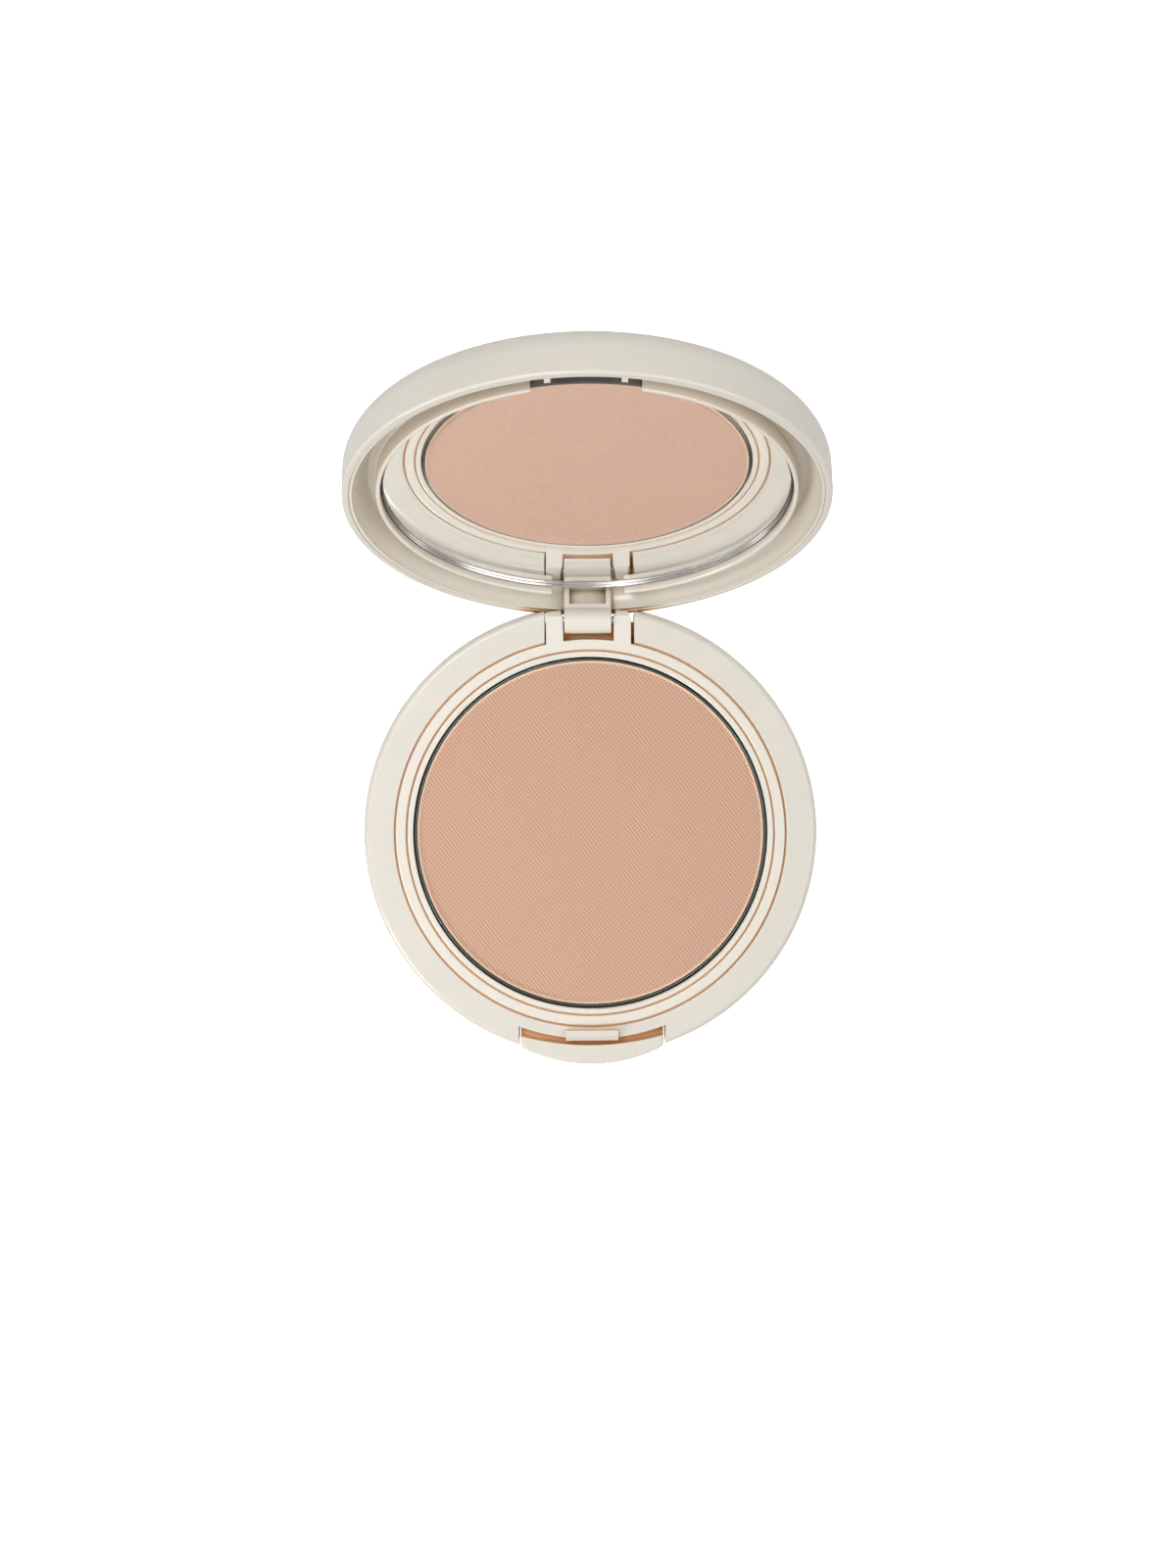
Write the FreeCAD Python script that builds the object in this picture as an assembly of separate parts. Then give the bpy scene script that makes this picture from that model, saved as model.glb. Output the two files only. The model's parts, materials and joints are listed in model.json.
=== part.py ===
import FreeCAD, Part
import math
import os

# A round pressed-powder compact, lid open. Millimetres.
# +Z is up, -Y is the front with the push button, +Y is the hinge side.
# The origin is the centre of the flat underside.
# Lid pieces are drawn shut and then swung open together about the hinge pin.

Vector = FreeCAD.Vector
UP = Vector(0, 0, 1)
ACROSS = Vector(1, 0, 0)

# ---- base, all radii from the vertical centre line ----
base_radius = 37.85
deck_height = 9.5
rim_edge_round = 1.1
shell_foot_height = 0.2
shell_foot_round = 1.6
rim_inner_radius = 32.78
rim_thickness = 1.3
rim_lip_outer_radius = 33.68
rim_lip_foot_height = 1.9
side_wall_inner_radius = 35.8
seam_edge_round = 0.2
seam_ledge_top = deck_height - 0.5
seam_ledge_foot = deck_height - 1.1
seam_ledge_gap = 0.03

cover_radius = 35.75
cover_thickness = 1.6

frame_outer_radius = 32.5
frame_inner_radius = 30.82
frame_floor_height = 1.9
frame_floor_thickness = 1.0

refill_outer_radius = 30.58
refill_inner_radius = 29.58
refill_floor_height = 3.0
refill_floor_thickness = 0.9
refill_top_height = 9.4

adhesive_radius = 22.0
adhesive_thickness = 0.15

# A metal pan of the common 59 mm nominal size.
pan_radius = 29.35
pan_floor_thickness = 0.4
pan_wall = 0.55
pan_lip = 0.12
pan_top_height = 9.15
powder_gap = 0.02
powder_top_height = 8.6
powder_edge_round = 0.5

# ---- hinge ----
hinge_y = 35.5
hinge_depth = 1.6
hinge_z = deck_height - hinge_depth
open_angle = 118.75
pin_radius = 0.75
pin_half_length = 6.9
ear_bore_radius = 0.76
tongue_bore_radius = 0.80
ear_inner_x = 4.2
ear_outer_x = 7.02
ear_round = 1.8
ear_trim_radius = 37.6
web_height = 4.6
web_reach_y = 35.6
hinge_notch_left_x = -7.28
hinge_notch_right_x = 7.58
corner_chamfer_x = 0.5
corner_chamfer_y = 1.3
relief_half = 9.4
relief_reach = 1.7

# ---- push button and catch, front ----
button_notch_half = 12.35
land_radius = 34.75
button_half = 12.0
button_inner_mid_y = -35.85
button_inner_end_y = -34.2
button_outer_mid_y = -39.15
button_outer_end_y = -36.15
button_corner_round = 0.9
button_foot_height = 0.7
button_step_radius = 36.6
button_step_height = 1.9
button_top_height = 9.4
button_top_round = 0.5
guide_height = 6.2
guide_thickness = 1.0
guide_inner_radius = 34.45
wing_half = 13.4
wing_front_y = -32.95
wing_back_y = -32.35
spring_x = 7.5
spring_z = 4.2
spring_coil_radius = 0.9
spring_wire_radius = 0.15
spring_turns = 4
spring_back_y = -32.95
spring_pocket_y = -36.3
spring_pocket_radius = 1.3
catch_half = 4.4
catch_back_y = -33.1
catch_front_y = -34.95
catch_height = 10.6
catch_front_height = 9.8
catch_foot_height = 8.2

# ---- lid, drawn shut; depths are measured up from the plane of its mouth ----
shut_gap = 0.35
lid_radius = 37.5
lid_depth = 8.7
lid_edge_round = 4.2
lid_wall_inner_radius = 36.4
lid_plate_depth = 7.1
lid_inner_round = 3.0
lid_rim_round = 0.4

liner_radius = 36.36
liner_lip_depth = 0.2
liner_lip_inner_radius = 35.9
channel_depth = 4.1
channel_floor_radius = 33.7
channel_corner_round = 0.35
liner_back_depth = 5.1
ring_outer_radius = 32.3
ring_inner_radius = 31.65
ring_top_depth = 1.0
ring_chamfer = 0.15
mirror_seat_depth = 3.65

mirror_radius = 31.45
mirror_face_depth = 2.05
mirror_back_depth = 3.55
mirror_edge_chamfer = 0.2
mirror_pad_radius = 27.0

front_gap_half = 7.95
front_gap_outer_radius = 36.0
latch_foot_inner_x = 5.0
latch_foot_outer_x = 5.9
latch_foot_radius = 34.9
latch_window_half = 4.9
latch_window_inner_radius = 31.95
latch_window_outer_radius = 34.7
latch_bar_radius = 36.0
latch_bar_low = 0.7
latch_bar_high = 1.3
latch_bar_reach = 0.25

rear_gap_half = 6.0
tongue_left_x = -3.97
tongue_right_x = 3.77
tongue_front_y = 34.0
tongue_back_y = 36.05
rib_space_back_y = 35.6
tongue_low_back_y = 37.0
knuckle_radius = 2.25
tongue_rib = 0.85
tongue_plate_depth = 0.5

mouth_height = deck_height + shut_gap


def outline(start, *steps):
    """A closed face in the XZ plane. A step is an end point, or (point on the arc, end point)."""
    def place(point):
        return Vector(point[0], 0, point[1])

    edges = []
    here = start
    for step in steps + (start,):
        if isinstance(step[0], tuple):
            edges.append(Part.Arc(place(here), place(step[0]), place(step[1])).toShape())
            here = step[1]
        else:
            edges.append(Part.makeLine(place(here), place(step)))
            here = step
    return Part.Face(Part.Wire(edges))


def turned(start, *steps):
    """The outline turned once round the vertical centre line."""
    return outline(start, *steps).revolve(Vector(0, 0, 0), UP, 360)


def tube(inner, outer, low, high):
    """A round wall between two radii and two heights."""
    wall = Part.makeCylinder(outer, high - low, Vector(0, 0, low))
    if inner > 0:
        wall = wall.cut(Part.makeCylinder(inner, high - low, Vector(0, 0, low)))
    return wall


def block(left, right, front, back, low, high):
    """A box between the six given planes."""
    return Part.makeBox(right - left, back - front, high - low, Vector(left, front, low))


def bar_across(radius, y, z, left, right):
    """A round bar along X."""
    return Part.makeCylinder(radius, right - left, Vector(left, y, z), ACROSS)


def circle_edges(shape, *rings):
    """The circular edges of the shape that have one of the (radius, height) pairs."""
    found = []
    for edge in shape.Edges:
        if edge.Degenerated or not isinstance(edge.Curve, Part.Circle):
            continue
        for radius, height in rings:
            same_radius = abs(edge.Curve.Radius - radius) < 1e-4
            same_height = abs(edge.Curve.Center.z - height) < 1e-4
            if same_radius and same_height:
                found.append(edge)
    return found


def rounded(shape, radius, *rings):
    """The shape with the named circular edges rounded."""
    return shape.makeFillet(radius, circle_edges(shape, *rings))


def corner_wedge(corner_x, corner_y, toward_x, low, high):
    """A wedge that takes a slanting slice off an upright rear corner."""
    points = [
        Vector(corner_x, corner_y - corner_chamfer_y, low),
        Vector(corner_x + toward_x * corner_chamfer_x, corner_y + 0.2, low),
        Vector(corner_x - toward_x * 0.2, corner_y + 0.2, low),
        Vector(corner_x - toward_x * 0.2, corner_y - corner_chamfer_y, low),
    ]
    face = Part.Face(Part.makePolygon(points + points[:1]))
    return face.extrude(Vector(0, 0, high - low))


def button_outline(low):
    """The plan of the push pad: a shallow arc behind and a bulging arc in front."""
    left_back = Vector(-button_half, button_inner_end_y, low)
    right_back = Vector(button_half, button_inner_end_y, low)
    left_front = Vector(-button_half, button_outer_end_y, low)
    right_front = Vector(button_half, button_outer_end_y, low)
    edges = [
        Part.Arc(left_back, Vector(0, button_inner_mid_y, low), right_back).toShape(),
        Part.makeLine(right_back, right_front),
        Part.Arc(right_front, Vector(0, button_outer_mid_y, low), left_front).toShape(),
        Part.makeLine(left_front, left_back),
    ]
    return Part.Face(Part.Wire(edges))


def beyond_stop(left, right, reach):
    """The space the open lid's mouth leans against, down to the given reach below the pin."""
    space = block(left, right, hinge_y + hinge_depth, 50, hinge_z - reach, hinge_z + 20)
    space.rotate(Vector(0, hinge_y, hinge_z), ACROSS, 90 - open_angle)
    return space


def make_outer_shell():
    """Rim, side wall and inner lip in one moulding, open underneath, with the fixed catch."""
    shell = turned(
        (rim_inner_radius, deck_height),
        (base_radius, deck_height),
        (base_radius, shell_foot_height),
        (side_wall_inner_radius, shell_foot_height),
        (side_wall_inner_radius, deck_height - rim_thickness),
        (rim_lip_outer_radius, deck_height - rim_thickness),
        (rim_lip_outer_radius, rim_lip_foot_height),
        (rim_inner_radius, rim_lip_foot_height),
        (rim_inner_radius, seam_ledge_foot),
        (frame_outer_radius + seam_ledge_gap, seam_ledge_foot),
        (frame_outer_radius + seam_ledge_gap, seam_ledge_top),
        (rim_inner_radius, seam_ledge_top),
    )
    shell = rounded(shell, rim_edge_round, (base_radius, deck_height))
    shell = rounded(shell, shell_foot_round, (base_radius, shell_foot_height))
    shell = rounded(shell, seam_edge_round, (rim_inner_radius, deck_height))
    shell = shell.cut(block(hinge_notch_left_x, hinge_notch_right_x, 30, 40, -1, 11))
    shell = shell.cut(corner_wedge(hinge_notch_right_x, 37.2, 1, -1, 11))
    shell = shell.cut(beyond_stop(-relief_half, relief_half, relief_reach))
    button_bay = block(-button_notch_half, button_notch_half, -45, -25, -1, 11)
    button_bay = button_bay.cut(Part.makeCylinder(land_radius, 14, Vector(0, 0, -2)))
    shell = shell.cut(button_bay)
    profile = [
        Vector(-catch_half, catch_back_y, catch_foot_height),
        Vector(-catch_half, catch_back_y, catch_height),
        Vector(-catch_half, (catch_back_y + catch_front_y) / 2, catch_height),
        Vector(-catch_half, catch_front_y, catch_front_height),
        Vector(-catch_half, catch_front_y, catch_foot_height),
    ]
    catch = Part.Face(Part.makePolygon(profile + profile[:1])).extrude(Vector(2 * catch_half, 0, 0))
    return shell.fuse(catch).removeSplitter()


def make_bottom_cover():
    """The flat plate that closes the underside and is what the compact stands on."""
    cover = Part.makeCylinder(cover_radius, cover_thickness)
    return rounded(cover, 0.25, (cover_radius, 0))


def make_ear(side):
    """One hinge ear: rounded about the pin above, and sloped below where the open lid stops."""
    left, right = sorted((side * ear_inner_x, side * ear_outer_x))
    rear = hinge_y + ear_round
    ear = block(left, right, 31.6, hinge_y, frame_floor_height, deck_height)
    ear = ear.fuse(block(left, right, hinge_y, rear, frame_floor_height, hinge_z))
    ear = ear.fuse(bar_across(ear_round, hinge_y, hinge_z, left, right))
    ear = ear.cut(beyond_stop(left, right, 20).common(block(left, right, 30, 50, 0, hinge_z)))
    ear = ear.cut(block(left, right, 30, 50, deck_height, deck_height + 2))
    ear = ear.cut(corner_wedge(side * ear_inner_x, rear, side, 0, 11))
    if side > 0:
        ear = ear.cut(corner_wedge(ear_outer_x, rear - 0.3, -1, 0, 11))
    return ear


def make_inner_frame():
    """The tray that drops into the shell and carries the two hinge ears."""
    frame = turned(
        (0, frame_floor_height),
        (frame_outer_radius, frame_floor_height),
        (frame_outer_radius, deck_height),
        (frame_inner_radius, deck_height),
        (frame_inner_radius, seam_ledge_top),
        (refill_outer_radius + seam_ledge_gap, seam_ledge_top),
        (refill_outer_radius + seam_ledge_gap, seam_ledge_foot),
        (frame_inner_radius, seam_ledge_foot),
        (frame_inner_radius, frame_floor_height + frame_floor_thickness),
        (0, frame_floor_height + frame_floor_thickness),
    )
    frame = rounded(
        frame,
        seam_edge_round,
        (frame_outer_radius, deck_height),
        (frame_inner_radius, deck_height),
    )
    lugs = block(-ear_inner_x, ear_inner_x, 31.6, web_reach_y, frame_floor_height, web_height)
    for side in (-1, 1):
        lugs = lugs.fuse(make_ear(side))
    lugs = lugs.common(tube(frame_inner_radius + 0.5, ear_trim_radius, 0, 11))
    frame = frame.fuse(lugs)
    bore = bar_across(ear_bore_radius, hinge_y, hinge_z, -pin_half_length, pin_half_length)
    return frame.cut(bore).removeSplitter()


def make_refill_cup():
    """The plastic cup that holds the pan and lifts out as a refill."""
    cup = turned(
        (0, refill_floor_height),
        (refill_outer_radius, refill_floor_height),
        (refill_outer_radius, refill_top_height),
        (refill_inner_radius, refill_top_height),
        (refill_inner_radius, refill_floor_height + refill_floor_thickness),
        (0, refill_floor_height + refill_floor_thickness),
    )
    return rounded(
        cup,
        0.25,
        (refill_outer_radius, refill_top_height),
        (refill_inner_radius, refill_top_height),
    )


def make_powder_pan(floor):
    """The shallow metal pan. Its lip flares open down to the level of the powder."""
    pan = turned(
        (0, floor),
        (pan_radius, floor),
        (pan_radius, pan_top_height),
        (pan_radius - pan_lip, pan_top_height),
        (pan_radius - pan_wall, powder_top_height),
        (pan_radius - pan_wall, floor + pan_floor_thickness),
        (0, floor + pan_floor_thickness),
    )
    return rounded(pan, 0.6, (pan_radius, floor))


def make_powder(floor):
    """The pressed cake of powder, with its top edge rounded off."""
    radius = pan_radius - pan_wall - powder_gap
    cake = tube(0, radius, floor, powder_top_height)
    return rounded(cake, powder_edge_round, (radius, powder_top_height))


def make_push_button():
    """The front push pad with its guide plate, two stop wings and two spring pockets."""
    height = button_top_height - button_foot_height
    pad = button_outline(button_foot_height).extrude(Vector(0, 0, height))
    corners = []
    for edge in pad.Edges:
        middle = edge.CenterOfMass
        at_side = abs(abs(middle.x) - button_half) < 1e-3
        at_front = abs(middle.y - button_outer_end_y) < 1e-3
        if at_side and at_front:
            corners.append(edge)
    pad = pad.makeFillet(button_corner_round, corners)
    top_edges = []
    for edge in pad.Edges:
        middle = edge.CenterOfMass
        outside = middle.y < button_inner_mid_y - 0.2 or abs(middle.x) > 11.5
        if outside and abs(middle.z - button_top_height) < 1e-6:
            top_edges.append(edge)
    pad = pad.makeFillet(button_top_round, top_edges)

    guide = tube(guide_inner_radius, 37.0, guide_height, guide_height + guide_thickness)
    front = block(-button_half, button_half, button_inner_mid_y, -30, 0, 11)
    beyond = button_outline(guide_height - 1).extrude(Vector(0, 0, guide_thickness + 2))
    guide = guide.common(front).cut(beyond.translated(Vector(0, -0.01, 0)))
    over_cover = tube(0, button_step_radius, 0, button_step_height)
    button = pad.fuse(guide).cut(over_cover)
    for side in (-1, 1):
        left, right = sorted((side * (button_half - 0.1), side * wing_half))
        wing = block(left, right, wing_front_y, wing_back_y, guide_height, guide_height + guide_thickness)
        button = button.fuse(wing)
        pocket_length = spring_back_y - spring_pocket_y
        pocket = Part.makeCylinder(
            spring_pocket_radius,
            pocket_length,
            Vector(side * spring_x, spring_pocket_y, spring_z),
            Vector(0, 1, 0),
        )
        button = button.cut(pocket)
    return button.removeSplitter()


def make_button_spring(side):
    """A small coil spring lying along Y between the inner lip and the pad."""
    length = spring_back_y - spring_pocket_y - 2 * spring_wire_radius - 0.1
    helix = Part.makeHelix(length / spring_turns, length, spring_coil_radius)
    wire = Part.Wire(helix.Edges)
    start = Vector(spring_coil_radius, 0, 0)
    section = Part.Wire(Part.makeCircle(spring_wire_radius, start, Vector(0, 1, 0)))
    spring = wire.makePipeShell([section], True, True)
    spring.rotate(Vector(0, 0, 0), ACROSS, -90)
    spring.translate(Vector(side * spring_x, spring_pocket_y + spring_wire_radius + 0.05, spring_z))
    return spring


def make_hinge_pin():
    """The steel pin, pressed into both ears."""
    return bar_across(pin_radius, hinge_y, hinge_z, -pin_half_length + 0.05, pin_half_length - 0.05)


def lid_point(radius, depth):
    """A point of the shut lid's cross-section."""
    return (radius, mouth_height + depth)


def make_lid_outer_shell():
    """The smooth outer cap of the lid, with a generous round at its edge."""
    slant = math.sqrt(0.5)
    edge_centre = (lid_radius - lid_edge_round, lid_depth - lid_edge_round)
    inner_centre = (lid_wall_inner_radius - lid_inner_round, lid_plate_depth - lid_inner_round)
    shell = turned(
        lid_point(0, lid_plate_depth),
        lid_point(inner_centre[0], lid_plate_depth),
        (
            lid_point(inner_centre[0] + slant * lid_inner_round, inner_centre[1] + slant * lid_inner_round),
            lid_point(lid_wall_inner_radius, inner_centre[1]),
        ),
        lid_point(lid_wall_inner_radius, 0),
        lid_point(lid_radius, 0),
        lid_point(lid_radius, edge_centre[1]),
        (
            lid_point(edge_centre[0] + slant * lid_edge_round, edge_centre[1] + slant * lid_edge_round),
            lid_point(edge_centre[0], lid_depth),
        ),
        lid_point(0, lid_depth),
    )
    shell = rounded(shell, lid_rim_round, lid_point(lid_radius, 0))
    return rounded(shell, 0.15, lid_point(lid_wall_inner_radius, 0))


def make_lid_liner():
    """The lid's inner moulding: channel, mirror ring, latch feet and the hinge tongue."""
    liner = turned(
        lid_point(0, mirror_seat_depth),
        lid_point(ring_inner_radius, mirror_seat_depth),
        lid_point(ring_inner_radius, ring_top_depth + ring_chamfer),
        lid_point(ring_inner_radius + ring_chamfer, ring_top_depth),
        lid_point(ring_outer_radius - ring_chamfer, ring_top_depth),
        lid_point(ring_outer_radius, ring_top_depth + ring_chamfer),
        lid_point(ring_outer_radius, channel_depth),
        lid_point(channel_floor_radius, channel_depth),
        (
            lid_point(35.15, 3.2),
            lid_point(liner_lip_inner_radius, liner_lip_depth),
        ),
        lid_point(liner_radius, liner_lip_depth),
        lid_point(liner_radius, mirror_seat_depth),
        lid_point(channel_floor_radius + 0.9, liner_back_depth),
        lid_point(0, liner_back_depth),
    )
    liner = rounded(liner, channel_corner_round, lid_point(ring_outer_radius, channel_depth))

    seat = mouth_height + mirror_seat_depth
    lip = mouth_height + liner_lip_depth
    front_gap = tube(ring_inner_radius - 0.5, front_gap_outer_radius, mouth_height - 1, seat)
    front_gap = front_gap.common(block(-front_gap_half, front_gap_half, -40, 0, 0, 30))
    liner = liner.cut(front_gap)
    window = tube(latch_window_inner_radius, latch_window_outer_radius, seat - 0.5, seat + 3)
    window = window.common(block(-latch_window_half, latch_window_half, -40, 0, 0, 30))
    liner = liner.cut(window)
    rear_gap = tube(ring_inner_radius - 0.5, ring_outer_radius + 0.3, mouth_height - 1, seat)
    rear_gap = rear_gap.common(block(-rear_gap_half, rear_gap_half, 0, 40, 0, 30))
    liner = liner.cut(rear_gap)

    foot_ring = tube(latch_foot_radius, front_gap_outer_radius + 0.1, lip, seat + 0.9)
    for side in (-1, 1):
        left, right = sorted((side * latch_foot_inner_x, side * latch_foot_outer_x))
        liner = liner.fuse(foot_ring.common(block(left, right, -40, 0, 0, 30)))
    bar_low = mouth_height + latch_bar_low
    bar_high = mouth_height + latch_bar_high
    bar = tube(latch_bar_radius - latch_bar_reach, latch_bar_radius + 0.1, bar_low, bar_high)
    bar = bar.common(block(-latch_foot_inner_x - 0.2, latch_foot_inner_x + 0.2, -40, 0, 0, 30))
    liner = liner.fuse(bar)

    tongue = block(tongue_left_x, tongue_right_x, tongue_front_y, tongue_back_y, hinge_z, seat + 0.6)
    rib_space = block(
        tongue_left_x + tongue_rib,
        tongue_right_x - tongue_rib,
        ring_outer_radius,
        rib_space_back_y,
        mouth_height + tongue_plate_depth,
        seat,
    )
    below_rim = mouth_height - 0.05
    low_back = block(tongue_left_x, tongue_right_x, tongue_front_y, tongue_low_back_y, hinge_z, below_rim)
    knuckle = bar_across(knuckle_radius, hinge_y, hinge_z, tongue_left_x, tongue_right_x)
    knuckle = knuckle.common(block(tongue_left_x, tongue_right_x, 30, 40, 0, below_rim))
    liner = liner.fuse(tongue).cut(rib_space)
    liner = liner.fuse(low_back).fuse(knuckle)
    return liner.cut(bar_across(tongue_bore_radius, hinge_y, hinge_z, -6, 6))


def make_mirror():
    """The round glass mirror with a fine ground edge."""
    low = mouth_height + mirror_face_depth
    high = mouth_height + mirror_back_depth
    mirror = tube(0, mirror_radius, low, high)
    return mirror.makeChamfer(mirror_edge_chamfer, circle_edges(mirror, (mirror_radius, low)))


def make_mirror_pad():
    """The thin adhesive disc behind the mirror."""
    return tube(0, mirror_pad_radius, mouth_height + mirror_back_depth, mouth_height + mirror_seat_depth)


def swung_open(shape):
    """The shut lid piece turned back about the hinge pin."""
    shape.rotate(Vector(0, hinge_y, hinge_z), ACROSS, -open_angle)
    return shape


adhesive_height = refill_floor_height + refill_floor_thickness
pan_floor = adhesive_height + adhesive_thickness

pieces = {
    "base_outer_shell": make_outer_shell(),
    "base_bottom_cover": make_bottom_cover(),
    "base_inner_frame": make_inner_frame(),
    "refill_cup": make_refill_cup(),
    "pan_adhesive": tube(0, adhesive_radius, adhesive_height, pan_floor),
    "powder_pan": make_powder_pan(pan_floor),
    "pressed_powder": make_powder(pan_floor + pan_floor_thickness),
    "hinge_pin": make_hinge_pin(),
    "push_button": make_push_button(),
    "button_spring_left": make_button_spring(-1),
    "button_spring_right": make_button_spring(1),
    "lid_outer_shell": swung_open(make_lid_outer_shell()),
    "lid_liner": swung_open(make_lid_liner()),
    "mirror_glass": swung_open(make_mirror()),
    "mirror_adhesive": swung_open(make_mirror_pad()),
}

os.makedirs("parts", exist_ok=True)
for name, shape in pieces.items():
    shape.exportStep(f"parts/{name}.step")
    box = shape.BoundBox
    print(f"{name}: valid {shape.isValid()}, solids {len(shape.Solids)}, volume {shape.Volume:.1f} mm3, "
          f"x {box.XMin:.2f} {box.XMax:.2f}, y {box.YMin:.2f} {box.YMax:.2f}, z {box.ZMin:.2f} {box.ZMax:.2f}")
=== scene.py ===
"""Looks of a round pressed-powder compact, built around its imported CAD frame.

Everything is in metres in the CAD frame: the origin is under the middle of the base, -Y is the
front with the push button, +Y is the hinge, and +Z is up. The lid stands open at rest.
"""

import json
import math

import bmesh
import bpy
from mathutils import Matrix, Vector
from mathutils import noise as mesh_noise


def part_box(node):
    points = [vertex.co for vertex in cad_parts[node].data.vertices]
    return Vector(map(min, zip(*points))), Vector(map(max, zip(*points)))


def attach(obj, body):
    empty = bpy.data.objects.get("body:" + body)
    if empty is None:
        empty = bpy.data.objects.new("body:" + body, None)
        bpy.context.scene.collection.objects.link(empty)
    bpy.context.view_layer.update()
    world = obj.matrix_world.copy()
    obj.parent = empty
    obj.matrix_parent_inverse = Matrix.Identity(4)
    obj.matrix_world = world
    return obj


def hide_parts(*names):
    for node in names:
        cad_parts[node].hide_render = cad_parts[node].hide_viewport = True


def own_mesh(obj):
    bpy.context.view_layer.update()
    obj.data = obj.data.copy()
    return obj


MM = 0.001

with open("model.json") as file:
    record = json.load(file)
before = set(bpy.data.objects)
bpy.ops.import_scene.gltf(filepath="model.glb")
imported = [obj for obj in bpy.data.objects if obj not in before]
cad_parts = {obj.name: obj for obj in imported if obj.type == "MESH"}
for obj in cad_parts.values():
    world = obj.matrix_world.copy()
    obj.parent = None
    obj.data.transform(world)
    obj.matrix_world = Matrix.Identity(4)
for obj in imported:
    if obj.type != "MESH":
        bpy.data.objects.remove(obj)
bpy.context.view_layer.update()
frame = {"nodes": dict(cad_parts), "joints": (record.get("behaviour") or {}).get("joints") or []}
nodes = frame["nodes"]
joints = {joint["name"]: joint for joint in frame["joints"]}

# ---------------------------------------------------------------- driving values

# The camera looks almost straight down, tipped a little past the vertical towards the hinge.
view_azimuth = math.radians(-0.533)
view_elevation = math.radians(95.94)
view_distance = 0.40753
view_centre_x = -0.306 * MM
view_centre_y = 8.42 * MM
lens_length = 56.17
sensor_long_side = 36.0

# Painted shade: ivory plastic is painted warm, with a painted orange glow, in places sheltered within this reach,
# and painted dark olive in the deepest of them.
seam_reach = 2.2 * MM
deep_shade = (0.13, 0.075, 0.04)
painted_seam_glow = (1.0, 0.42, 0.07)

# Painted shade: wider hollows, such as the lid's channel, are painted taupe.
hollow_reach = 5.0 * MM
painted_hollow_shade = (0.62, 0.54, 0.42)

# The powder cake is pressed through a cloth, which leaves a fine square weave in its top.
weave_pitch = 0.543 * MM
weave_angle = math.radians(37.0)
weave_depth_across = 0.092 * MM
weave_depth_along = 0.052 * MM
weave_patch = 1.2 * MM
weave_steps = 3
cake_side_growth = 0.14 * MM
cake_edge_round = 0.10 * MM
cake_margin = 0.40 * MM
cake_margin_rise = 0.26 * MM

# The pan's lip is a rolled bead, and the rest of it is this thick.
pan_bead_radius = 0.17 * MM
bead_steps = 8
pan_sheet = 0.4 * MM

# The mirror is a glass plate with a silver film behind it.
glass_edge_chamfer = 0.2 * MM
film_thickness = 0.04 * MM
film_gap = 0.01 * MM

# Room brightness at the horizon and overhead, and softbox powers in watts.
sweep_glow = 0.80
sky_low = 0.43
sky_high = 0.47
key_power = 0.74
near_power = 0.33
fill_power = 1.6

deck_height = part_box("base_inner_frame")[1].z
powder_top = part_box("pressed_powder")[1].z
open_angle = math.radians(max(joints["lid_hinge"]["range_deg"]))


# ---------------------------------------------------------------- material building blocks


def new_material(name):
    """An empty node material: its node tree and its Principled shader."""
    material = bpy.data.materials.new(name)
    material.use_nodes = True
    tree = material.node_tree
    return material, tree, tree.nodes["Principled BSDF"]


def object_position(tree):
    """The point in the piece's own coordinates, which are the CAD frame's."""
    return tree.nodes.new("ShaderNodeTexCoord").outputs["Object"]


def noise(tree, scale, detail=2.0, roughness=0.5):
    """A noise pattern with this many cells to a metre."""
    node = tree.nodes.new("ShaderNodeTexNoise")
    node.inputs["Scale"].default_value = scale
    node.inputs["Detail"].default_value = detail
    node.inputs["Roughness"].default_value = roughness
    tree.links.new(object_position(tree), node.inputs["Vector"])
    return node.outputs["Fac"]


def remap(tree, value, low, high, to_low, to_high):
    """value from low..high stretched to to_low..to_high, and held at the ends."""
    node = tree.nodes.new("ShaderNodeMapRange")
    node.inputs["From Min"].default_value = low
    node.inputs["From Max"].default_value = high
    node.inputs["To Min"].default_value = to_low
    node.inputs["To Max"].default_value = to_high
    tree.links.new(value, node.inputs["Value"])
    return node.outputs["Result"]


def blend_colours(tree, factor, first, second):
    """first where factor is 0, second where it is 1. Each is a colour or a node's output."""
    node = tree.nodes.new("ShaderNodeMix")
    node.data_type = "RGBA"
    tree.links.new(factor, node.inputs[0])
    for socket, colour in ((node.inputs[6], first), (node.inputs[7], second)):
        if isinstance(colour, tuple):
            socket.default_value = (*colour, 1.0)
        else:
            tree.links.new(colour, socket)
    return node.outputs[2]


def openness(tree, reach):
    """1 on open faces, falling to 0 deep in seams and slots narrower than reach."""
    node = tree.nodes.new("ShaderNodeAmbientOcclusion")
    node.samples = 12
    node.inputs["Distance"].default_value = reach
    return node.outputs["AO"]


def soft_edges(tree, radius):
    """Normals that round off each sharp moulded edge by this radius."""
    node = tree.nodes.new("ShaderNodeBevel")
    node.samples = 6
    node.inputs["Radius"].default_value = radius
    return node.outputs["Normal"]


def bump(tree, height, strength, distance, normal=None):
    """Surface normals moved by a height pattern."""
    node = tree.nodes.new("ShaderNodeBump")
    node.inputs["Strength"].default_value = strength
    node.inputs["Distance"].default_value = distance
    tree.links.new(height, node.inputs["Height"])
    if normal is not None:
        tree.links.new(normal, node.inputs["Normal"])
    return node.outputs["Normal"]


# ---------------------------------------------------------------- materials


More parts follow.
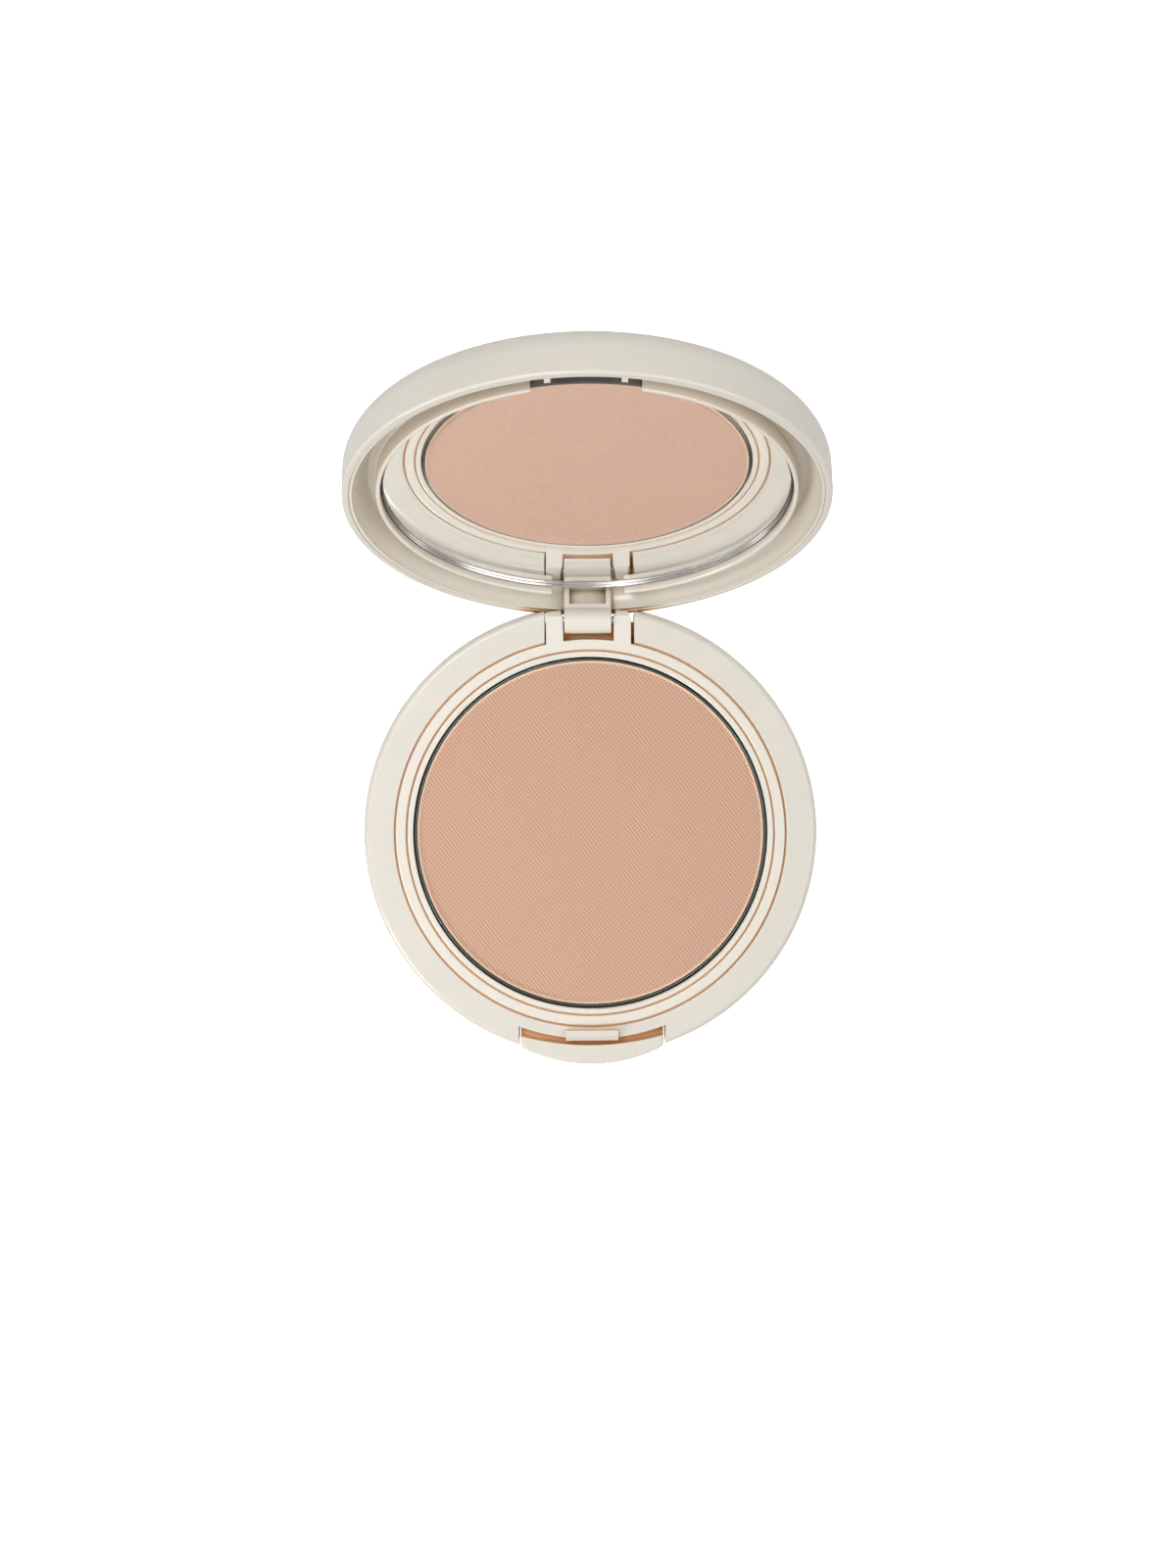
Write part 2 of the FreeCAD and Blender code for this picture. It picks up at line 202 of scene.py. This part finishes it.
def ivory_plastic(name, face, painted_seam_shade, rough, painted_glow_strength):
    """Moulded ivory plastic with a pearl pigment, into which light sinks a little. Its seams also get painted warm
    shade and a painted orange glow, the deepest spots painted dark shade, and wider hollows painted taupe shade.
    """
    material, tree, shader = new_material(name)
    pigment = remap(tree, noise(tree, 90.0, 3.0), 0.3, 0.7, 0.0, 1.0)
    deeper = tuple(0.972 * part for part in face)
    mottled = blend_colours(tree, pigment, face, deeper)
    # Painted shade: wider hollows are painted taupe where they are least open.
    hollow = remap(tree, openness(tree, hollow_reach), 0.22, 0.62, 1.0, 0.0)
    shaded = blend_colours(tree, hollow, mottled, painted_hollow_shade)
    # Painted shade: sheltered seams are painted warm orange, and the deepest spots dark olive.
    openness_here = openness(tree, seam_reach)
    painted_shade_mask = remap(tree, openness_here, 0.34, 0.62, 1.0, 0.0)
    sheltered = blend_colours(tree, painted_shade_mask, shaded, painted_seam_shade)
    depth = remap(tree, openness_here, 0.05, 0.42, 1.0, 0.0)
    tree.links.new(blend_colours(tree, depth, sheltered, deep_shade), shader.inputs["Base Color"])
    # Painted glow: sheltered seams emit a faint orange glow, though they are no lamp, which fades again deepest
    # down.
    glow = blend_colours(tree, painted_shade_mask, (0.0, 0.0, 0.0), painted_seam_glow)
    glow = blend_colours(tree, depth, glow, (0.0, 0.0, 0.0))
    tree.links.new(glow, shader.inputs["Emission Color"])
    shader.inputs["Emission Strength"].default_value = painted_glow_strength
    flow = remap(tree, noise(tree, 420.0, 4.0), 0.3, 0.7, rough - 0.03, rough + 0.04)
    tree.links.new(flow, shader.inputs["Roughness"])
    grain = noise(tree, 9000.0, 2.0)
    normal = bump(tree, grain, 0.25, 0.004 * MM, soft_edges(tree, 0.10 * MM))
    tree.links.new(normal, shader.inputs["Normal"])
    shader.inputs["IOR"].default_value = 1.5
    shader.inputs["Coat Weight"].default_value = 0.12
    shader.inputs["Coat Roughness"].default_value = 0.12
    shader.inputs["Subsurface Weight"].default_value = 0.25
    shader.inputs["Subsurface Radius"].default_value = (1.0, 0.55, 0.28)
    shader.inputs["Subsurface Scale"].default_value = 0.9 * MM
    return material


def pan_aluminium():
    """Drawn aluminium with fine rings of tooling. Its tone is painted dark, standing in for the shade and dark
    reflections along the lip, and painted near black in the seams.
    """
    material, tree, shader = new_material("pan_aluminium")
    # Painted shade: the metal is painted near black where it is sheltered in seams.
    painted_shade_mask = remap(tree, openness(tree, 0.8 * MM), 0.25, 0.75, 1.0, 0.0)
    tone = blend_colours(tree, painted_shade_mask, (0.10, 0.14, 0.145), (0.02, 0.035, 0.04))
    tree.links.new(tone, shader.inputs["Base Color"])
    streaks = noise(tree, 2500.0, 3.0)
    tree.links.new(remap(tree, streaks, 0.3, 0.7, 0.26, 0.40), shader.inputs["Roughness"])
    tree.links.new(bump(tree, streaks, 0.2, 0.004 * MM), shader.inputs["Normal"])
    shader.inputs["Metallic"].default_value = 1.0
    return material


def powder_cake():
    """Pressed face powder: matt and finely grained, with painted shade in the low points of its weave and a painted
    highlight on its raised edge.
    """
    material, tree, shader = new_material("powder_cake")
    cloud = remap(tree, noise(tree, 60.0, 3.0), 0.3, 0.7, 0.0, 1.0)
    body = blend_colours(tree, cloud, (0.690, 0.422, 0.298), (0.662, 0.404, 0.285))
    speck = remap(tree, noise(tree, 3400.0, 3.0, 0.75), 0.36, 0.66, 0.0, 1.0)
    body = blend_colours(tree, speck, body, (0.800, 0.520, 0.380))
    split = tree.nodes.new("ShaderNodeSeparateXYZ")
    tree.links.new(object_position(tree), split.inputs[0])
    # Painted shade: the low points of the weave are painted darker.
    painted_weave_shade_mask = remap(tree, split.outputs["Z"], powder_top - weave_depth_across - weave_depth_along, powder_top, 1.0, 0.0)
    tone = blend_colours(tree, painted_weave_shade_mask, body, (0.325, 0.168, 0.102))
    # Painted highlight: the edge that curls up to the pan is painted bright cream.
    painted_edge_highlight_mask = remap(tree, split.outputs["Z"], powder_top + 0.02 * MM, powder_top + 0.18 * MM, 0.0, 0.75)
    tone = blend_colours(tree, painted_edge_highlight_mask, tone, (0.90, 0.64, 0.40))
    tree.links.new(tone, shader.inputs["Base Color"])
    tree.links.new(remap(tree, speck, 0.0, 1.0, 0.80, 0.95), shader.inputs["Roughness"])
    tree.links.new(bump(tree, speck, 0.5, 0.012 * MM), shader.inputs["Normal"])
    shader.inputs["Specular IOR Level"].default_value = 0.25
    shader.inputs["Sheen Weight"].default_value = 0.50
    shader.inputs["Sheen Roughness"].default_value = 0.6
    return material


def mirror_glass():
    """Float glass, faintly green through its edge."""
    material, tree, shader = new_material("mirror_plate_glass")
    smears = remap(tree, noise(tree, 35.0, 4.0), 0.45, 0.8, 0.0, 0.025)
    tree.links.new(smears, shader.inputs["Roughness"])
    shader.inputs["Base Color"].default_value = (1.0, 1.0, 0.995, 1.0)
    shader.inputs["IOR"].default_value = 1.52
    shader.inputs["Transmission Weight"].default_value = 1.0
    return material


def ground_edge():
    """The finely ground rim of the glass."""
    material, tree, shader = new_material("ground_glass_edge")
    tone = blend_colours(tree, noise(tree, 900.0, 3.0), (0.52, 0.49, 0.44), (0.60, 0.57, 0.52))
    tree.links.new(tone, shader.inputs["Base Color"])
    shader.inputs["Roughness"].default_value = 0.22
    shader.inputs["Transmission Weight"].default_value = 0.8
    return material


def mirror_silver():
    """The silver film behind the glass."""
    material, tree, shader = new_material("mirror_silver")
    tone = remap(tree, noise(tree, 50.0, 2.0), 0.3, 0.7, 0.0, 1.0)
    silver = blend_colours(tree, tone, (0.975, 0.970, 0.960), (0.965, 0.962, 0.950))
    tree.links.new(silver, shader.inputs["Base Color"])
    shader.inputs["Metallic"].default_value = 1.0
    shader.inputs["Roughness"].default_value = 0.01
    return material


def drawn_steel():
    """Bright drawn wire and pin stock."""
    material, tree, shader = new_material("drawn_steel")
    streaks = noise(tree, 3000.0, 3.0)
    tone = blend_colours(tree, streaks, (0.50, 0.50, 0.51), (0.62, 0.62, 0.63))
    tree.links.new(tone, shader.inputs["Base Color"])
    tree.links.new(remap(tree, streaks, 0.3, 0.7, 0.22, 0.36), shader.inputs["Roughness"])
    shader.inputs["Metallic"].default_value = 1.0
    return material


def glue():
    """Soft milky glue under the pan and behind the mirror."""
    material, tree, shader = new_material("glue")
    tone = blend_colours(tree, noise(tree, 300.0, 3.0), (0.70, 0.70, 0.66), (0.78, 0.77, 0.72))
    tree.links.new(tone, shader.inputs["Base Color"])
    shader.inputs["Roughness"].default_value = 0.6
    return material


def floor_material():
    """A bright white sweep."""
    material, tree, shader = new_material("white_sweep")
    shader.inputs["Base Color"].default_value = (0.9, 0.9, 0.9, 1.0)
    shader.inputs["Roughness"].default_value = 0.9
    shader.inputs["Emission Color"].default_value = (1.0, 1.0, 1.0, 1.0)
    shader.inputs["Emission Strength"].default_value = 0.8
    return material


# The seam colours below are painted shade, and each glow strength sets a painted seam glow.
rim_ivory = ivory_plastic("rim_ivory", face=(0.670, 0.634, 0.562), painted_seam_shade=(0.86, 0.38, 0.10), rough=0.34, painted_glow_strength=0.09)
inner_ivory = ivory_plastic("inner_ivory", face=(0.735, 0.690, 0.615), painted_seam_shade=(0.86, 0.40, 0.11), rough=0.30, painted_glow_strength=0.09)
liner_ivory = ivory_plastic("liner_ivory", face=(0.735, 0.690, 0.615), painted_seam_shade=(0.38, 0.31, 0.20), rough=0.30, painted_glow_strength=0.0)

finishes = {
    "ivory_rim": rim_ivory,
    "ivory_inner": inner_ivory,
    "pan_metal": pan_aluminium(),
    "powder": powder_cake(),
    "pin_steel": drawn_steel(),
    "mirror": mirror_silver(),
    "adhesive": glue(),
}


def finish_cad_nodes():
    """Each CAD node that stays in view takes the finish of its record slot."""
    for node in nodes.values():
        for place in node.material_slots:
            slot_name = place.material.name.split(".")[0]
            place.link = "OBJECT"
            place.material = finishes[slot_name]
    nodes["lid_liner"].material_slots[0].material = liner_ivory


# ---------------------------------------------------------------- pieces built here


def link_piece(name, mesh_builder, material):
    """A new object made from a finished bmesh."""
    mesh = bpy.data.meshes.new(name)
    bmesh.ops.recalc_face_normals(mesh_builder, faces=mesh_builder.faces)
    mesh_builder.to_mesh(mesh)
    mesh_builder.free()
    piece = bpy.data.objects.new(name, mesh)
    bpy.context.scene.collection.objects.link(piece)
    mesh.materials.append(material)
    return piece


def weave_height(x, y):
    """The cloth's mark at a point: two rows of threads at right angles, pressed deeper in some patches."""
    along_first = x * math.cos(weave_angle) + y * math.sin(weave_angle)
    along_second = y * math.cos(weave_angle) - x * math.sin(weave_angle)
    first = math.cos(2 * math.pi * along_first / weave_pitch)
    second = math.cos(2 * math.pi * along_second / weave_pitch)
    pressed = 0.8 + 0.45 * mesh_noise.noise(Vector((x, y, 0.0)) / weave_patch)
    middle = (weave_depth_across + weave_depth_along) / 2
    return pressed * (weave_depth_across * first + weave_depth_along * second) / 2 - middle


def make_powder_cake():
    """The cake: a woven top that curls up to the pan at its edge, a side wall and a flat bottom."""
    low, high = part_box("pressed_powder")
    radius = (high.x - low.x) / 2 + cake_side_growth
    step = weave_pitch / weave_steps
    count = math.ceil(radius / step) + 1
    builder = bmesh.new()
    grid = {}
    for row in range(-count, count + 1):
        for column in range(-count, count + 1):
            x = column * step * math.cos(weave_angle) - row * step * math.sin(weave_angle)
            y = column * step * math.sin(weave_angle) + row * step * math.cos(weave_angle)
            distance = math.hypot(x, y)
            if distance > radius + 1.5 * step:
                continue
            if distance > radius - 0.3 * step:
                x *= radius / distance
                y *= radius / distance
            grid[column, row] = (x, y, distance < radius - 0.3 * step)
    made = {}

    def corner(key):
        if key not in made:
            x, y, inside = grid[key]
            distance = math.hypot(x, y)
            past = max(0.0, distance - (radius - cake_edge_round)) / cake_edge_round
            fall = cake_edge_round * (1 - math.sqrt(max(0.0, 1 - min(past, 1.0) ** 2)))
            into_margin = min(1.0, max(0.0, (distance - radius + cake_margin) / cake_margin))
            rise = cake_margin_rise * into_margin
            z = high.z - fall + rise + weave_height(x, y) * (1 - into_margin)
            made[key] = builder.verts.new((x, y, z))
        return made[key]

    for column, row in list(grid):
        keys = [(column, row), (column + 1, row), (column + 1, row + 1), (column, row + 1)]
        if all(key in grid for key in keys) and any(grid[key][2] for key in keys):
            builder.faces.new([corner(key) for key in keys])
    bmesh.ops.remove_doubles(builder, verts=builder.verts, dist=0.02 * MM)
    rim_edges = [edge for edge in builder.edges if edge.is_boundary]
    grown = bmesh.ops.extrude_edge_only(builder, edges=rim_edges)["geom"]
    for part in grown:
        if isinstance(part, bmesh.types.BMVert):
            part.co.z = low.z
    floor_edges = [edge for edge in builder.edges if edge.is_boundary]
    bmesh.ops.contextual_create(builder, geom=floor_edges)
    for face in builder.faces:
        face.smooth = abs(face.normal.z) > 0.05
    cake = link_piece("powder_cake", builder, finishes["powder"])
    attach(cake, "base")
    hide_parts("pressed_powder")
    return cake


def turned_disc(name, profile, placing, material):
    """A solid turned about the local Z axis from (radius, height) points, then put in place."""
    segments = 192
    builder = bmesh.new()
    rings = []
    for radius, height in profile:
        ring = []
        for index in range(segments):
            angle = 2 * math.pi * index / segments
            spot = Vector((radius * math.cos(angle), radius * math.sin(angle), height))
            ring.append(builder.verts.new(placing @ spot))
        rings.append(ring)
    for inner, outer in zip(rings, rings[1:]):
        for index in range(segments):
            following = (index + 1) % segments
            face = (inner[index], inner[following], outer[following], outer[index])
            builder.faces.new(face)
    builder.faces.new(rings[0])
    builder.faces.new(rings[-1])
    return link_piece(name, builder, material)


def make_pan():
    """The metal pan with a rolled bead at its lip, which slopes in to the powder."""
    low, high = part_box("powder_pan")
    outer = (high.x - low.x) / 2
    bead = pan_bead_radius
    bead_radius = outer - bead
    bead_height = high.z - bead
    profile = [(outer - 0.6 * MM, low.z), (outer - 0.18 * MM, low.z + 0.18 * MM), (outer, low.z + 0.6 * MM)]
    for step in range(bead_steps + 1):
        angle = math.radians(125) * step / bead_steps
        spot = (bead_radius + bead * math.cos(angle), bead_height + bead * math.sin(angle))
        profile.append(spot)
    inner = outer - 0.40 * MM
    profile.append((inner, powder_top + 0.08 * MM))
    profile.append((inner, low.z + pan_sheet))
    pan = turned_disc("pan_with_bead", profile, Matrix.Identity(4), finishes["pan_metal"])
    for face in pan.data.polygons:
        face.use_smooth = len(face.vertices) == 4
    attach(pan, "base")
    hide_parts("powder_pan")
    return pan


def make_mirror():
    """A chamfered glass plate with its silver film, square to the lid as it stands open."""
    spots = [vertex.co for vertex in nodes["mirror_glass"].data.vertices]
    turn = Matrix.Rotation(-open_angle, 3, "X")
    flat = [turn.inverted() @ spot for spot in spots]
    low_z = min(spot.z for spot in flat)
    high_z = max(spot.z for spot in flat)
    radius = (max(spot.x for spot in flat) - min(spot.x for spot in flat)) / 2
    middle_x = (max(spot.x for spot in flat) + min(spot.x for spot in flat)) / 2
    middle_y = (max(spot.y for spot in flat) + min(spot.y for spot in flat)) / 2
    placing = turn.to_4x4() @ Matrix.Translation((middle_x, middle_y, 0.0))
    film_back = high_z
    film_face = film_back - film_thickness
    glass_back = film_face - film_gap
    glass_profile = [
        (radius - glass_edge_chamfer, low_z),
        (radius, low_z + glass_edge_chamfer),
        (radius, glass_back - glass_edge_chamfer / 2),
        (radius - glass_edge_chamfer / 2, glass_back),
    ]
    plate = turned_disc("mirror_plate", glass_profile, placing, mirror_glass())
    plate.data.materials.append(ground_edge())
    for face in plate.data.polygons:
        face.material_index = 1 if len(face.vertices) == 4 else 0
    film_radius = radius - 0.1 * MM
    film_profile = [(film_radius, film_face), (film_radius, film_back)]
    film = turned_disc("mirror_film", film_profile, placing, finishes["mirror"])
    for piece in (plate, film):
        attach(piece, "lid")
    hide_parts("mirror_glass")
    return plate


def make_springs():
    """The button's two coil springs, in drawn steel and carried with the base."""
    for name in ("button_spring_left", "button_spring_right"):
        mesh = nodes[name].data.copy()
        spring = bpy.data.objects.new(name + "_coil", mesh)
        bpy.context.scene.collection.objects.link(spring)
        mesh.materials.clear()
        mesh.materials.append(finishes["pin_steel"])
        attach(spring, "base")
        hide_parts(name)
        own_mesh(spring)


# ---------------------------------------------------------------- studio


def aim(thing, target):
    """Turns an object so that its local -Z axis points at the target."""
    thing.rotation_euler = (target - thing.location).to_track_quat("-Z", "Y").to_euler()


def make_floor():
    """A wide pale floor under the compact. It looks white but throws little light up at the sides."""
    builder = bmesh.new()
    bmesh.ops.create_circle(builder, cap_ends=True, segments=96, radius=3.0)
    floor = link_piece("floor", builder, floor_material())
    floor.visible_diffuse = False
    floor.visible_glossy = False


def softbox(name, place, target, width, height, power, colour=(1.0, 1.0, 1.0)):
    """A rectangular soft light."""
    light = bpy.data.lights.new(name, "AREA")
    light.shape = "RECTANGLE"
    light.size = width
    light.size_y = height
    light.energy = power
    light.color = colour
    lamp = bpy.data.objects.new(name, light)
    bpy.context.scene.collection.objects.link(lamp)
    lamp.location = place
    aim(lamp, target)


def make_studio():
    """A pale room that is brighter overhead, and three softboxes."""
    world = bpy.data.worlds.new("studio")
    bpy.context.scene.world = world
    world.use_nodes = True
    tree = world.node_tree
    sky = tree.nodes["Background"]
    sky.inputs["Color"].default_value = (1.0, 1.0, 1.0, 1.0)
    direction = tree.nodes.new("ShaderNodeSeparateXYZ")
    tree.links.new(tree.nodes.new("ShaderNodeTexCoord").outputs["Generated"], direction.inputs[0])
    above = remap(tree, direction.outputs["Z"], 0.0, 0.7, sky_low, sky_high)
    below = remap(tree, direction.outputs["Z"], -0.25, 0.0, sweep_glow - sky_low, 0.0)
    glow = tree.nodes.new("ShaderNodeMath")
    tree.links.new(above, glow.inputs[0])
    tree.links.new(below, glow.inputs[1])
    tree.links.new(glow.outputs[0], sky.inputs["Strength"])
    middle = Vector((0.0, 0.0, deck_height))
    softbox("key_softbox", Vector((-0.13, 0.12, 0.40)), middle, 0.15, 0.15, key_power)
    softbox("near_softbox", Vector((-0.20, -0.16, 0.13)), middle, 0.08, 0.08, near_power)
    softbox("fill_softbox", Vector((0.45, -0.05, 0.50)), middle, 0.5, 0.5, fill_power)


def make_camera():
    """The camera, almost straight above. Its axes are built one by one, because it leans past the vertical."""
    settings = bpy.data.cameras.new("camera")
    settings.lens = lens_length
    settings.sensor_width = sensor_long_side
    camera = bpy.data.objects.new("camera", settings)
    bpy.context.scene.collection.objects.link(camera)
    level = math.cos(view_elevation)
    right = Vector((math.cos(view_azimuth), math.sin(view_azimuth), 0.0))
    back = Vector((math.sin(view_azimuth) * level, -math.cos(view_azimuth) * level, math.sin(view_elevation)))
    placing = Matrix((right, back.cross(right), back)).transposed().to_4x4()
    centre = Vector((view_centre_x, view_centre_y, deck_height))
    placing.translation = centre + back * view_distance
    camera.matrix_world = placing
    bpy.context.scene.camera = camera


# ---------------------------------------------------------------- scene

make_powder_cake()
make_pan()
make_mirror()
make_springs()
finish_cad_nodes()
make_floor()
make_studio()
make_camera()
bpy.context.scene.view_settings.view_transform = "Standard"
